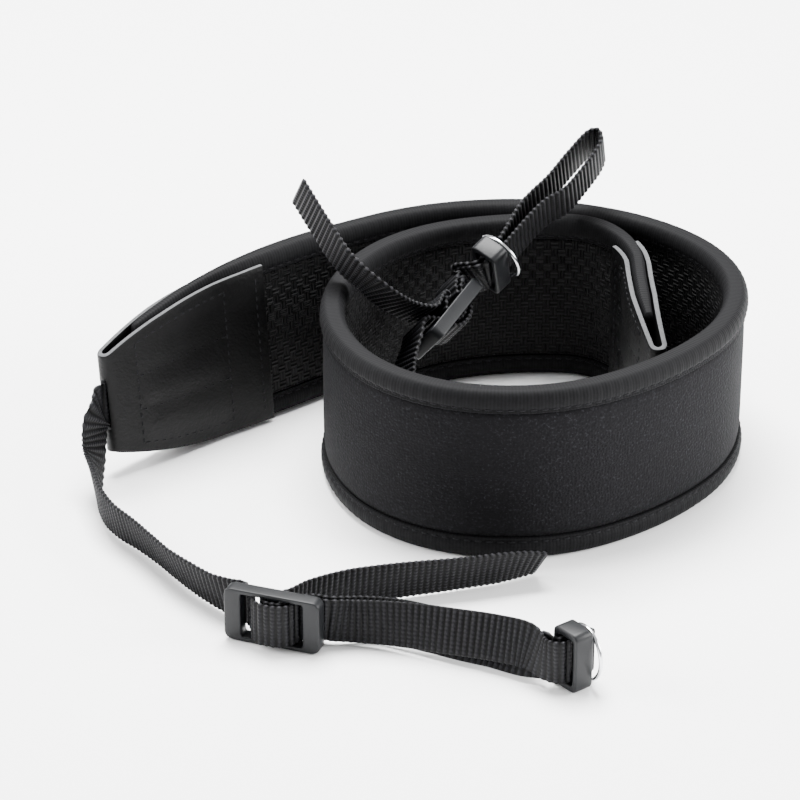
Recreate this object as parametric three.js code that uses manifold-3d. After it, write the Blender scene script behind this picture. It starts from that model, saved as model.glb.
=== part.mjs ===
// Camera neck strap, coiled and standing on its long edge.
// A padded neoprene band runs in one and a half turns. A folded leatherette tab closes each end of it, and out of
// each tab comes a narrow webbing that passes a slider, doubles back through a keeper and ends free.
// Millimetres, +Z up, the surface that the strap stands on at z = 0.
import * as THREE from 'three';
import { mergeVertices } from 'three/addons/utils/BufferGeometryUtils.js';
import Module from 'manifold-3d';

// Band, across its width and through its thickness.
const BAND_WIDTH = 50;
const ROLL_RADIUS = 3.5;      // half the thickness of the bound edge
const CORE_OUTER = 2.7;       // outer face of the foam, out from the middle of the band
const CORE_INNER = 1.5;       // inner face of the foam
const CORE_PINCH = 1.3;       // half thickness of the foam inside the binding
const SEAM_HEIGHT = 6.3;      // how far the binding reaches over the faces
const LINING_THICK = 1.0;
const GAP = 0.3;              // between pieces that touch

// Tab, measured along the band from its fold.
const TAB_END_LOW = 6.8;
const TAB_END_HIGH = 36;
const LOW_TAPER = 40;         // from the fold to where the lower edge has come down to the floor
const HIGH_TAPER = 70;        // from the fold to where the upper edge has its full height
const TAB_DROP = 2.3;         // how far the tab's upper edge ends below the band's
const TAB_RISE = 0.4;         // and how far its lower edge stays above the band's
const TAB_WALL = 1.4;
const TAB_REACH_OUTER = 55;
const TAB_REACH_INNER = 47.5;
const TAB_SQUEEZE = 0.6;      // share of its thickness that the band keeps under the tab
const END_SQUEEZE = 0.4;      // and at the end of the foam
const SQUEEZE_START = 38;     // from the fold to where the band begins to thicken
const SQUEEZE_END = 62;       // and to where it has its full thickness
const TAB_FOLD_RADIUS = 1.9;
const TAB_FLAT = 20;          // from the fold to where the tab lies over the bound edge
const BAND_START = 12;        // from the fold to the end of the foam
const LINING_START = 40;
const SLOT_HEIGHT = 14.8;
const FOLD_MIDDLE = (TAB_END_LOW + TAB_END_HIGH) / 2;

// Webbing and its fittings.
const WEB_WIDTH = 12;
const WEB_THICK = 1.4;
const WEB_STEP = 3.6;
const SLIDER = { long: 26.2, high: 15.0, thick: 4, endBar: 4.6, rail: 1.2, midBar: 3.2, midThick: 2.2 };
const KEEPER = { long: 5.6, high: 16.8, thick: 9, wall: 1.5, capWall: 1.9 };
const RING = { radius: 7.1, wire: 0.55 };

// The middle line of the band seen from above, as arcs. run is the length, turn the change of heading in degrees
// (negative turns right), lean how far the top edge stands outward at the row's start.
const START = { x: -118.6, y: -9.7, heading: 42.4 };
const SPINE = [
  { run: 70.9, turn: -1.7, lean: 5.5 },
  { run: 26.5, turn: -6.1, lean: 5.0 },
  { run: 33.5, turn: -26.1, lean: 3.0 },
  { run: 31.9, turn: -28.8, lean: 1.0 },
  { run: 33.0, turn: -30.7, lean: 0 },
  { run: 36.2, turn: -41.3, lean: 0 },
  { run: 35.1, turn: -33.4, lean: 0 },
  { run: 37.0, turn: -23.9, lean: 0 },
  { run: 36.5, turn: -40.5, lean: 0 },
  { run: 40.0, turn: -51.6, lean: 0 },
  { run: 35.7, turn: -32.6, lean: 0 },
  { run: 31.1, turn: -28.3, lean: 0 },
  { run: 33.7, turn: -39.4, lean: 0 },
  { run: 31.5, turn: -22.9, lean: 0 },
  { run: 14.4, turn: -45.0, lean: 0 },
  { run: 20.4, turn: -39.6, lean: 0 },
  { run: 34.2, turn: 13.0, lean: 0 },
];
const BAND_LENGTH = SPINE.reduce((sum, row) => sum + row.run, 0);
const TURN_STEP = 5.5;        // degrees of turn for one facet of the band

const lerp = THREE.MathUtils.lerp;
const rad = THREE.MathUtils.degToRad;

// Place, heading and lean of the band's middle line at a distance from its outer end.
function spineAt(distance) {
  let { x, y } = START;
  let heading = rad(START.heading);
  let left = distance;
  for (let i = 0; i < SPINE.length; i += 1) {
    const row = SPINE[i];
    const last = i === SPINE.length - 1;
    const part = last ? left : Math.min(left, row.run);
    const bend = rad(row.turn) * part / row.run;
    const chord = part * Math.sin(bend / 2) / (bend / 2 || 1);
    x += (Math.abs(bend) < 1e-9 ? part : chord) * Math.cos(heading + bend / 2);
    y += (Math.abs(bend) < 1e-9 ? part : chord) * Math.sin(heading + bend / 2);
    heading += bend;
    left -= part;
    if (left <= 1e-9 || last) {
      const next = last ? row.lean : SPINE[i + 1].lean;
      return { x, y, heading, lean: rad(lerp(row.lean, next, Math.min(part / row.run, 1))) };
    }
  }
  return null;
}

// A point of the flat band (run along it, out from its middle, up from its lower edge) on the coiled band.
function coil(run, out, up) {
  const at = spineAt(run);
  const side = out * Math.cos(at.lean) + up * Math.sin(at.lean);
  const height = up * Math.cos(at.lean) + (ROLL_RADIUS - out) * Math.sin(at.lean);
  return new THREE.Vector3(at.x - side * Math.sin(at.heading), at.y + side * Math.cos(at.heading), height);
}

// Distances along the band where its facets meet.
function stations(from, to) {
  const marks = [from];
  let end = 0;
  for (const row of SPINE) {
    const steps = Math.max(1, Math.ceil(Math.abs(row.turn) / TURN_STEP));
    for (let i = 1; i <= steps; i += 1) {
      const mark = end + row.run * i / steps;
      if (mark > from + 1 && mark < to - 1) marks.push(mark);
    }
    end += row.run;
  }
  const half = (a, b) => (a + b) / 2;
  const bends = [TAB_FLAT, SQUEEZE_START, SQUEEZE_END];
  bends.push(half(TAB_FLAT, SQUEEZE_START), half(SQUEEZE_START, SQUEEZE_END));
  for (const bend of bends) {
    marks.push(...[bend, BAND_LENGTH - bend].filter((mark) => mark > from + 1 && mark < to - 1));
  }
  return [...marks, to].sort((a, b) => a - b);
}

// Lower and upper edge of the band at a distance from the nearer fold.
function edges(fromFold) {
  const left = (taper, power) => Math.max(1 - Math.max(fromFold, 0) / taper, 0) ** power;
  return {
    low: TAB_END_LOW * left(LOW_TAPER, 2),
    high: BAND_WIDTH - (BAND_WIDTH - TAB_END_HIGH) * left(HIGH_TAPER, 2.6),
  };
}

// Height on the tapered band of a point of the full-width section.
function taperedHeight(run, z) {
  const { low, high } = edges(Math.min(run, BAND_LENGTH - run));
  const rim = SEAM_HEIGHT + 1;
  if (z <= rim) return low + z;
  if (z >= BAND_WIDTH - rim) return high - (BAND_WIDTH - z);
  return lerp(low + rim, high - rim, (z - rim) / (BAND_WIDTH - 2 * rim));
}

// Share of its thickness that the band keeps at a distance along it.
function squeezed(run) {
  const { clamp, mapLinear } = THREE.MathUtils;
  const fromFold = Math.min(run, BAND_LENGTH - run);
  if (fromFold < TAB_FLAT) {
    return mapLinear(Math.max(fromFold, BAND_START), BAND_START, TAB_FLAT, END_SQUEEZE, TAB_SQUEEZE);
  }
  return clamp(mapLinear(fromFold, SQUEEZE_START, SQUEEZE_END, TAB_SQUEEZE, 1), TAB_SQUEEZE, 1);
}

function setPositions(geometry, place) {
  const position = geometry.attributes.position;
  for (let i = 0; i < position.count; i += 1) {
    const p = place(position.getX(i), position.getY(i), position.getZ(i));
    position.setXYZ(i, p.x, p.y, p.z);
  }
  geometry.deleteAttribute('normal');
  geometry.deleteAttribute('uv');
  return facingOut(mergeVertices(geometry, 1e-4));
}

// Turns every triangle over where a mapping has mirrored the shape, so that the faces point outward.
function facingOut(geometry) {
  const position = geometry.attributes.position;
  const index = geometry.index.array;
  const corner = (i) => new THREE.Vector3().fromBufferAttribute(position, index[i]);
  let volume = 0;
  for (let i = 0; i < index.length; i += 3) {
    volume += corner(i).dot(corner(i + 1).cross(corner(i + 2))) / 6;
  }
  if (volume < 0) {
    for (let i = 0; i < index.length; i += 3) {
      [index[i], index[i + 1]] = [index[i + 1], index[i]];
    }
  }
  geometry.computeVertexNormals();
  return geometry;
}

function outline(points) {
  return new THREE.Shape(points.map(([x, y]) => new THREE.Vector2(x, y)));
}

// A section of the band, extruded along its length and coiled up.
function bandPiece(section, from, to) {
  const marks = stations(from, to);
  const steps = marks.length - 1;
  const geometry = new THREE.ExtrudeGeometry(outline(section), { depth: 1, steps, bevelEnabled: false });
  return setPositions(geometry, (x, y, z) => {
    const run = marks[Math.round(z * steps)];
    return coil(run, x * squeezed(run), taperedHeight(run, y));
  });
}

function coreSection() {
  const top = BAND_WIDTH;
  const tuck = 3.3;
  return [
    [-CORE_PINCH, tuck], [CORE_PINCH, tuck], [CORE_PINCH, SEAM_HEIGHT], [CORE_OUTER - 0.3, SEAM_HEIGHT + 1],
    [CORE_OUTER, top / 2], [CORE_OUTER - 0.3, top - SEAM_HEIGHT - 1], [CORE_PINCH, top - SEAM_HEIGHT],
    [CORE_PINCH, top - tuck], [-CORE_PINCH, top - tuck], [-CORE_INNER, top / 2],
  ];
}

function liningSection() {
  const face = -CORE_INNER - GAP;
  const low = SEAM_HEIGHT + GAP;
  return [
    [face - LINING_THICK, low], [face, low], [face, BAND_WIDTH - low], [face - LINING_THICK, BAND_WIDTH - low],
  ];
}

// The tape over one long edge: a rolled outside, flattened where it stands, round the pinched foam.
function bindingSection(upper) {
  const r = ROLL_RADIUS;
  const inside = CORE_PINCH + GAP;
  const half = [
    [r - 0.4, SEAM_HEIGHT], [r, 3.6], [r * 0.8, 1.3], [r * 0.38, 0],
  ];
  const mirror = half.map(([x, y]) => [-x, y]).reverse();
  const bore = [[-inside, SEAM_HEIGHT], [-inside, 3], [inside, 3], [inside, SEAM_HEIGHT]];
  return [...mirror, ...bore, ...half].map(([x, y]) => [x, upper ? BAND_WIDTH - y : y]);
}

// Tab: one strip folded round the end of the band. Its plan runs from the end on the band's inner face, round the
// fold and back over the outer face. marks are the distances from the fold where the band under it has its facets.
function tabPlan(reach, marks) {
  const clear = (r) => ROLL_RADIUS * squeezed(r) + GAP + TAB_WALL / 2;
  const between = marks.filter((r) => r > TAB_FLAT + 1 && r < reach - 1).sort((a, b) => a - b);
  const over = [TAB_FLAT, ...between, reach];
  const near = new THREE.Vector2(TAB_FLAT / 2, lerp(TAB_FOLD_RADIUS, clear(TAB_FLAT), 0.45));
  const side = (sign) => [near, ...over.map((r) => new THREE.Vector2(r, clear(r)))]
    .map((at) => new THREE.Vector2(at.x, sign * at.y));
  const path = [...side(-1).reverse()];
  const turns = 6;
  for (let i = 0; i <= turns; i += 1) {
    const a = -Math.PI / 2 - Math.PI * i / turns;
    path.push(new THREE.Vector2(TAB_FOLD_RADIUS * (1 + Math.cos(a)), TAB_FOLD_RADIUS * Math.sin(a)));
  }
  path.push(...side(1));
  const shifted = (shift) => path.map((p, i) => {
    const before = path[Math.max(i - 1, 0)];
    const after = path[Math.min(i + 1, path.length - 1)];
    const along = after.clone().sub(before).normalize();
    return new THREE.Vector2(p.x - along.y * shift, p.y + along.x * shift);
  });
  return new THREE.Shape([...shifted(TAB_WALL / 2), ...shifted(-TAB_WALL / 2).reverse()]);
}

const wasm = await Module();
wasm.setup();

function toSolid(geometry) {
  const bare = geometry.clone();
  bare.deleteAttribute('normal');
  bare.deleteAttribute('uv');
  const merged = mergeVertices(bare, 1e-4);
  return new wasm.Manifold(new wasm.Mesh({
    numProp: 3,
    vertProperties: new Float32Array(merged.attributes.position.array),
    triVerts: new Uint32Array(merged.index.array),
  }));
}

function toGeometry(solid) {
  const mesh = solid.getMesh();
  const geometry = new THREE.BufferGeometry();
  geometry.setAttribute('position', new THREE.BufferAttribute(new Float32Array(mesh.vertProperties), 3));
  geometry.setIndex(new THREE.BufferAttribute(new Uint32Array(mesh.triVerts), 1));
  return geometry;
}

// inner is true for the tab at the inner end, which is the mirror of the outer one.
function tab(inner) {
  const reach = inner ? TAB_REACH_INNER : TAB_REACH_OUTER;
  const runs = inner ? stations(BAND_LENGTH - reach, BAND_LENGTH) : stations(0, reach);
  const marks = runs.map((run) => (inner ? BAND_LENGTH - run : run));
  const strip = new THREE.ExtrudeGeometry(tabPlan(reach, marks), { depth: 1, steps: 1, bevelEnabled: false });
  const tapered = setPositions(strip, (r, t, z) => {
    const { low, high } = edges(r);
    const drop = TAB_DROP * Math.min(r / TAB_REACH_INNER, 1);
    return new THREE.Vector3(r, t, z < 0.5 ? low + TAB_RISE : high - drop);
  });
  const slot = new THREE.BoxGeometry(8, WEB_THICK + 3 * GAP, SLOT_HEIGHT);
  slot.translate(0, 0, FOLD_MIDDLE);
  const cut = toGeometry(toSolid(tapered).subtract(toSolid(slot)));
  return setPositions(cut, (r, t, z) => coil(inner ? BAND_LENGTH - r : r, t, z));
}

// A place on a webbing: its middle, and the direction across its width.
function upright(x, y, z, tilt = 0, toward = 0) {
  const edge = new THREE.Vector3(
    Math.sin(rad(tilt)) * Math.cos(rad(toward)), Math.sin(rad(tilt)) * Math.sin(rad(toward)), Math.cos(rad(tilt)),
  );
  return { at: new THREE.Vector3(x, y, z), edge };
}

const rows = (table) => table.map((row) => upright(row.x, row.y, row.z, row.tilt, row.toward));

// Axes of a fitting: along the webbing, back through its thickness, and up across its width.
function fittingAxes(along, up) {
  const a = new THREE.Vector3(...along).normalize();
  const back = new THREE.Vector3(...up).cross(a).normalize();
  return { along: a, back, up: a.clone().cross(back).normalize() };
}

// Rows of a webbing inside a fitting, from distances along it and back through it.
function through(fitting, table) {
  const { centre, axes } = fitting;
  return table.map(({ s, t }) => ({
    at: new THREE.Vector3(...centre).addScaledVector(axes.along, s).addScaledVector(axes.back, t),
    edge: axes.up.clone(),
  }));
}

// The first pass goes over the middle bar from the tab to the keeper. s runs along the fitting, t back through it.
const FIRST_PASS = [
  { s: -10.0, t: 5.0 }, { s: -7.4, t: 2.7 }, { s: -5.7, t: -0.2 }, { s: -4.3, t: -2.8 }, { s: -2.2, t: -4.1 },
  { s: 0, t: -4.35 }, { s: 2.3, t: -4.1 }, { s: 4.4, t: -3.1 }, { s: 6.0, t: -0.6 }, { s: 7.4, t: 2.4 },
  { s: 9.4, t: 3.5 }, { s: 13.4, t: 3.7 },
];
// The second pass comes back under it, wraps the middle bar and leaves behind.
const SECOND_PASS = [
  { s: 13.4, t: 5.6 }, { s: 9.4, t: 5.3 }, { s: 6.2, t: 3.7 }, { s: 4.4, t: 0.4 }, { s: 2.8, t: -2.0 },
  { s: 0.8, t: -2.5 }, { s: -1.4, t: -2.35 }, { s: -3.0, t: -0.9 }, { s: -2.8, t: 1.1 }, { s: -1.0, t: 2.8 },
  { s: 1.8, t: 5.2 },
];
// Out through a keeper, in its nearer half, and back through its farther half.
const KEEPER_OUT = [{ s: -4.2, t: -0.9 }, { s: 0, t: -1.1 }, { s: 4.4, t: -1.1 }];
const KEEPER_BACK = [{ s: 4.4, t: 1.0 }, { s: 0, t: 1.0 }, { s: -4.2, t: 0.9 }];

const outerSlider = {
  centre: [-70.6, -101.2, 7.6],
  axes: fittingAxes([0.94, -0.342, 0], [0, 0, 1]),
};
const innerSlider = {
  centre: [-25.4, 16.7, 35.9],
  axes: fittingAxes([0.472, 0.853, 0.229], [0.485, -0.468, 0.742]),
};
const outerKeeper = {
  centre: [5.0, -121.6, 8.5],
  axes: fittingAxes([0.788, 0.616, 0], [0, 0, 1]),
};
const innerKeeper = {
  centre: [-12.4, 30.4, 46.3],
  axes: fittingAxes([0.67, 0.61, 0.42], [-0.1, -0.49, 0.87]),
};

// The webbing's place between the two layers of a tab.
function inTab(run) {
  const at = coil(run, 0, FOLD_MIDDLE);
  return { at, edge: coil(run, 0, FOLD_MIDDLE + 1).sub(at) };
}

const outerRoute = [
  inTab(10), inTab(5), inTab(0), inTab(-2.4),
  ...rows([
    { x: -121.9, y: -13.0, z: 20.0, tilt: 30, toward: -130 },
    { x: -122.7, y: -14.2, z: 17.6, tilt: 62, toward: -122 },
    { x: -123.0, y: -15.2, z: 14.2, tilt: 80, toward: -118 },
    { x: -123.0, y: -17.0, z: 10.6, tilt: 66, toward: -116 },
    { x: -122.8, y: -20.6, z: 7.8, tilt: 40, toward: -116 },
    { x: -122.2, y: -26.0, z: 6.6, tilt: 18, toward: -120 },
    { x: -121.0, y: -32.6, z: 6.5, tilt: 8, toward: -130 },
    { x: -118.4, y: -41.0, z: 6.4, tilt: 8, toward: -135 },
    { x: -114.7, y: -47.7, z: 6.2, tilt: 12, toward: -135 },
    { x: -109.0, y: -54.9, z: 6.1, tilt: 16, toward: -140 },
    { x: -103.6, y: -62.5, z: 6.0, tilt: 19, toward: -146 },
    { x: -98.1, y: -71.0, z: 6.0, tilt: 20, toward: -146 },
    { x: -92.1, y: -79.0, z: 6.2, tilt: 16, toward: -144 },
    { x: -86.2, y: -85.6, z: 6.3, tilt: 14, toward: -142 },
    { x: -81.4, y: -90.2, z: 6.9, tilt: 6, toward: -140 },
  ]),
  ...through(outerSlider, FIRST_PASS),
  ...rows([
    { x: -51.0, y: -101.6, z: 6.9, tilt: 5, toward: 80 },
    { x: -43.0, y: -102.8, z: 7.1, tilt: 10, toward: 78 },
    { x: -35.0, y: -105.2, z: 7.6, tilt: 18, toward: 76 },
    { x: -26.0, y: -108.7, z: 8.2, tilt: 24, toward: 74 },
    { x: -14.0, y: -113.2, z: 8.8, tilt: 26, toward: 70 },
    { x: -6.2, y: -118.4, z: 9.6, tilt: 18, toward: 65 },
  ]),
  ...through(outerKeeper, [
    { s: -6.6, t: 3.7 }, { s: -5.0, t: -0.4 }, { s: -2.0, t: -1.2 }, { s: 0, t: -1.1 },
    { s: 3.6, t: -1.1 }, { s: 5.3, t: -0.9 }, { s: 6.1, t: 0 }, { s: 5.3, t: 0.9 },
    { s: 3.6, t: 1.1 }, { s: 0, t: 1.0 }, { s: -2.4, t: 1.0 }, { s: -4.0, t: 2.6 }, { s: -4.1, t: 4.6 },
  ]),
  ...rows([
    { x: -2.0, y: -118.8, z: 7.2, tilt: 16, toward: 66 },
    { x: -6.5, y: -115.6, z: 5.8, tilt: 36, toward: 68 },
    { x: -14.0, y: -110.6, z: 5.1, tilt: 46, toward: 70 },
    { x: -22.0, y: -107.2, z: 5.2, tilt: 44, toward: 72 },
    { x: -29.0, y: -104.2, z: 5.6, tilt: 38, toward: 75 },
    { x: -38.0, y: -101.0, z: 6.1, tilt: 26, toward: 78 },
    { x: -46.0, y: -99.4, z: 6.5, tilt: 10, toward: 80 },
  ]),
  ...through(outerSlider, SECOND_PASS),
  ...rows([
    { x: -61.5, y: -90.4, z: 7.0, tilt: 4, toward: -80 },
    { x: -52.0, y: -84.2, z: 6.5, tilt: 6, toward: -70 },
    { x: -40.1, y: -80.1, z: 6.3, tilt: 11, toward: -64 },
    { x: -23.4, y: -76.1, z: 6.2, tilt: 18, toward: -69 },
    { x: -12.0, y: -72.9, z: 6.1, tilt: 21, toward: -70 },
    { x: -6.5, y: -70.9, z: 5.9, tilt: 27, toward: -73 },
    { x: -1.0, y: -68.8, z: 5.4, tilt: 37, toward: -75 },
  ]),
];

const innerRoute = [
  inTab(BAND_LENGTH - 10), inTab(BAND_LENGTH - 5), inTab(BAND_LENGTH), inTab(BAND_LENGTH + 2.4),
  ...rows([
    { x: 34.8, y: -7.6, z: 19.6, tilt: 10, toward: 180 },
    { x: 33.4, y: -15.0, z: 14.4, tilt: 25, toward: 180 },
    { x: 27.0, y: -26.0, z: 9.0, tilt: 15, toward: 130 },
    { x: 14.0, y: -34.0, z: 6.4 },
    { x: -3.0, y: -36.0, z: 6.4 },
    { x: -20.0, y: -31.0, z: 9.5 },
    { x: -32.0, y: -21.0, z: 16.0, tilt: 20, toward: 20 },
    { x: -37.4, y: -10.0, z: 23.5, tilt: 35, toward: 0 },
    { x: -37.4, y: -2.4, z: 29.0, tilt: 40, toward: -30 },
    { x: -35.0, y: 4.6, z: 34.6, tilt: 42, toward: -42 },
  ]),
  ...through(innerSlider, FIRST_PASS),
  ...through(innerKeeper, KEEPER_OUT),
  ...rows([
    { x: 3.2, y: 44.6, z: 56.1, tilt: 30, toward: -102 },
    { x: 9.1, y: 47.9, z: 58.5, tilt: 30, toward: -102 },
    { x: 15.0, y: 54.2, z: 62.8, tilt: 30, toward: -102 },
    { x: 19.3, y: 60.0, z: 66.6, tilt: 30, toward: -102 },
    { x: 20.3, y: 63.0, z: 68.4, tilt: 30, toward: -102 },
    { x: 19.4, y: 65.4, z: 69.6, tilt: 30, toward: -102 },
    { x: 17.2, y: 65.4, z: 69.4, tilt: 30, toward: -102 },
    { x: 10.9, y: 59.4, z: 65.3, tilt: 30, toward: -102 },
    { x: 4.9, y: 52.5, z: 60.7, tilt: 30, toward: -102 },
    { x: -2.5, y: 45.5, z: 56.0, tilt: 30, toward: -102 },
  ]),
  ...through(innerKeeper, KEEPER_BACK),
  ...through(innerSlider, SECOND_PASS),
  ...rows([
    { x: -31.3, y: 12.6, z: 39.6, tilt: 46, toward: -52 },
    { x: -38.3, y: 8.3, z: 43.8, tilt: 49, toward: -60 },
    { x: -46.2, y: 5.2, z: 51.4, tilt: 49, toward: -60 },
    { x: -53.6, y: 8.0, z: 57.5, tilt: 49, toward: -60 },
    { x: -60.2, y: 15.5, z: 64.5, tilt: 49, toward: -60 },
    { x: -66.8, y: 24.0, z: 72.2, tilt: 49, toward: -60 },
  ]),
];

// A flat strip of webbing led along its route on edge.
function ribbon(route) {
  const path = new THREE.CatmullRomCurve3(route.map((row) => row.at), false, 'centripetal');
  const frames = [];
  for (let i = 0; i + 1 < route.length; i += 1) {
    const length = route[i].at.distanceTo(route[i + 1].at);
    const steps = Math.max(1, Math.ceil(length / WEB_STEP));
    for (let k = i === 0 ? 0 : 1; k <= steps; k += 1) {
      const f = k / steps;
      const u = (i + f) / (route.length - 1);
      const along = path.getTangent(u);
      const edge = route[i].edge.clone().lerp(route[i + 1].edge, f);
      edge.addScaledVector(along, -edge.dot(along)).normalize();
      frames.push({ at: path.getPoint(u), edge, face: edge.clone().cross(along) });
    }
  }
  const steps = frames.length - 1;
  const strip = new THREE.BoxGeometry(1, WEB_THICK, WEB_WIDTH, steps, 1, 1);
  return setPositions(strip, (x, y, z) => {
    const frame = frames[Math.round((x + 0.5) * steps)];
    return frame.at.clone().addScaledVector(frame.face, y).addScaledVector(frame.edge, z);
  });
}

function roundedRect(path, width, height, radius) {
  const x = width / 2;
  const y = height / 2;
  path.moveTo(-x + radius, -y);
  path.lineTo(x - radius, -y);
  path.absarc(x - radius, -y + radius, radius, -Math.PI / 2, 0, false);
  path.lineTo(x, y - radius);
  path.absarc(x - radius, y - radius, radius, 0, Math.PI / 2, false);
  path.lineTo(-x + radius, y);
  path.absarc(-x + radius, y - radius, radius, Math.PI / 2, Math.PI, false);
  path.lineTo(-x, -y + radius);
  path.absarc(-x + radius, -y + radius, radius, Math.PI, Math.PI * 1.5, false);
  return path;
}

// Slider: a frame with two windows and a thinner bar between them.
function sliderGeometry() {
  const { long, high, thick, endBar, rail, midBar, midThick } = SLIDER;
  const frame = roundedRect(new THREE.Shape(), long, high, 2);
  frame.holes.push(roundedRect(new THREE.Path(), long - 2 * endBar, high - 2 * rail, 0.8));
  const rim = new THREE.ExtrudeGeometry(frame, { depth: thick, bevelEnabled: false, curveSegments: 4 });
  rim.translate(0, 0, -thick / 2);
  const bar = new THREE.BoxGeometry(midBar, high - rail, midThick);
  return toGeometry(toSolid(rim).add(toSolid(bar)));
}

// Keeper: a short sleeve, open at both ends.
function keeperGeometry() {
  const { long, high, thick, wall, capWall } = KEEPER;
  const sleeve = roundedRect(new THREE.Shape(), thick, high, 1.8);
  sleeve.holes.push(roundedRect(new THREE.Path(), thick - 2 * wall, high - 2 * capWall, 0.8));
  const geometry = new THREE.ExtrudeGeometry(sleeve, { depth: long, bevelEnabled: false, curveSegments: 4 });
  geometry.translate(0, 0, -long / 2);
  return geometry;
}

const finish = {
  neoprene: { color: 0x1a1a1c, roughness: 0.85, metalness: 0 },
  rubber: { color: 0x161617, roughness: 0.7, metalness: 0 },
  tape: { color: 0x202022, roughness: 0.8, metalness: 0 },
  leatherette: { color: 0x141415, roughness: 0.55, metalness: 0 },
  webbing: { color: 0x1c1c1f, roughness: 0.8, metalness: 0 },
  plastic: { color: 0x2a2a2e, roughness: 0.45, metalness: 0 },
  chrome: { color: 0xd8d8dc, roughness: 0.1, metalness: 1 },
};

function piece(name, geometry, surface) {
  const mesh = new THREE.Mesh(geometry, new THREE.MeshStandardMaterial(finish[surface]));
  mesh.name = name;
  return mesh;
}

// Stands a fitting in its place. turn lists the fitting's own x, y and z axes.
function placed(mesh, centre, turn) {
  mesh.position.set(...centre);
  mesh.rotation.setFromRotationMatrix(new THREE.Matrix4().makeBasis(...turn));
  return mesh;
}

function slider(name, { centre, axes }) {
  const toward = axes.back.clone().negate();
  return placed(piece(name, sliderGeometry(), 'plastic'), centre, [axes.along, axes.up, toward]);
}

function keeper(name, { centre, axes }) {
  const toward = axes.back.clone().negate();
  return placed(piece(name, keeperGeometry(), 'plastic'), centre, [toward, axes.up, axes.along.clone().negate()]);
}

// A ring round both strands, at a distance ahead of the keeper's middle and turned about its upright diameter.
function ring(name, fitting, { ahead, lower, turn }) {
  const { axes } = fitting;
  const centre = new THREE.Vector3(...fitting.centre)
    .addScaledVector(axes.along, ahead)
    .addScaledVector(axes.up, -lower);
  const back = axes.back.clone().applyAxisAngle(axes.up, rad(turn));
  const geometry = new THREE.TorusGeometry(RING.radius, RING.wire, 6, 28);
  const wayThrough = back.clone().cross(axes.up);
  return placed(piece(name, geometry, 'chrome'), centre.toArray(), [back, axes.up, wayThrough]);
}

const group = new THREE.Group();
const bandEnd = BAND_LENGTH - BAND_START;
group.add(piece('neoprene_core', bandPiece(coreSection(), BAND_START, bandEnd), 'neoprene'));
group.add(piece('grip_lining', bandPiece(liningSection(), LINING_START, BAND_LENGTH - LINING_START), 'rubber'));
group.add(piece('binding_lower', bandPiece(bindingSection(false), BAND_START, bandEnd), 'tape'));
group.add(piece('binding_upper', bandPiece(bindingSection(true), BAND_START, bandEnd), 'tape'));
group.add(piece('tab_outer', tab(false), 'leatherette'));
group.add(piece('tab_inner', tab(true), 'leatherette'));
group.add(piece('webbing_outer', ribbon(outerRoute), 'webbing'));
group.add(piece('webbing_inner', ribbon(innerRoute), 'webbing'));
group.add(slider('slider_outer', outerSlider));
group.add(slider('slider_inner', innerSlider));
group.add(keeper('keeper_outer', outerKeeper));
group.add(keeper('keeper_inner', innerKeeper));
group.add(ring('ring_outer', outerKeeper, { ahead: 4.2, lower: 0.2, turn: -8 }));
group.add(ring('ring_inner', innerKeeper, { ahead: 3.9, lower: 0, turn: 0 }));

// The middle of everything's footprint, at the surface that the strap stands on, becomes the origin.
const box = new THREE.Box3().setFromObject(group);
const middle = box.getCenter(new THREE.Vector3()).setZ(box.min.z);
for (const mesh of group.children) mesh.position.sub(middle);

export default group;
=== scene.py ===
from math import ceil, cos, pi, radians, sin

import bmesh
import bpy
from mathutils import Matrix, Vector


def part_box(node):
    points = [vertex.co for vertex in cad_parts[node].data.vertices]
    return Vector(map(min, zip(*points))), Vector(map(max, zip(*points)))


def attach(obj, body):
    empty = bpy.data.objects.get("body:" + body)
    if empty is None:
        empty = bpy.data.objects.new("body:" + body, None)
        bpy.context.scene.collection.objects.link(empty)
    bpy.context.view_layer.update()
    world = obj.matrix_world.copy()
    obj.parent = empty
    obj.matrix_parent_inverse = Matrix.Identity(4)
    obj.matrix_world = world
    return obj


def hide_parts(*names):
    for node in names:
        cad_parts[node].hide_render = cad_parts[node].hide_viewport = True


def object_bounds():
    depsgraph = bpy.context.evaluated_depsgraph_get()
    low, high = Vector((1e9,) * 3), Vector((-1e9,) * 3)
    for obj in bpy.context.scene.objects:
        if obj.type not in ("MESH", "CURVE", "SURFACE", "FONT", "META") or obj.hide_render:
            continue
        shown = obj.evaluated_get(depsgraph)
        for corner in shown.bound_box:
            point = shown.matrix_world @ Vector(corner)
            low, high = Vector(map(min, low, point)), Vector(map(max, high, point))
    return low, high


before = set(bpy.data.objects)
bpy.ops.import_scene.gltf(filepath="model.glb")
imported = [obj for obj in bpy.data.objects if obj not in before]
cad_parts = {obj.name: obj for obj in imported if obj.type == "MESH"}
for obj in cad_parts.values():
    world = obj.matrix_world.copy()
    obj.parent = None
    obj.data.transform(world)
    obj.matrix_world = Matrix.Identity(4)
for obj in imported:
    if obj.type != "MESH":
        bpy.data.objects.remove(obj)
CAD_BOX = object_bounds()

bl_info = {
    "name": "Camera Neck Strap",
    "version": (1, 0, 0),
    "blender": (4, 5, 0),
    "location": "3D View > Sidebar > Strap",
    "description": "Builds a coiled, padded camera neck strap piece by piece",
    "category": "Add Mesh",
}

# Lengths in this file are millimetres unless a name ends in _M, and become metres when a mesh is made.
MM = 0.001

# ---------------------------------------------------------------------------------------------
# The coiled band: the same sizes and the same middle line as the solid model

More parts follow.
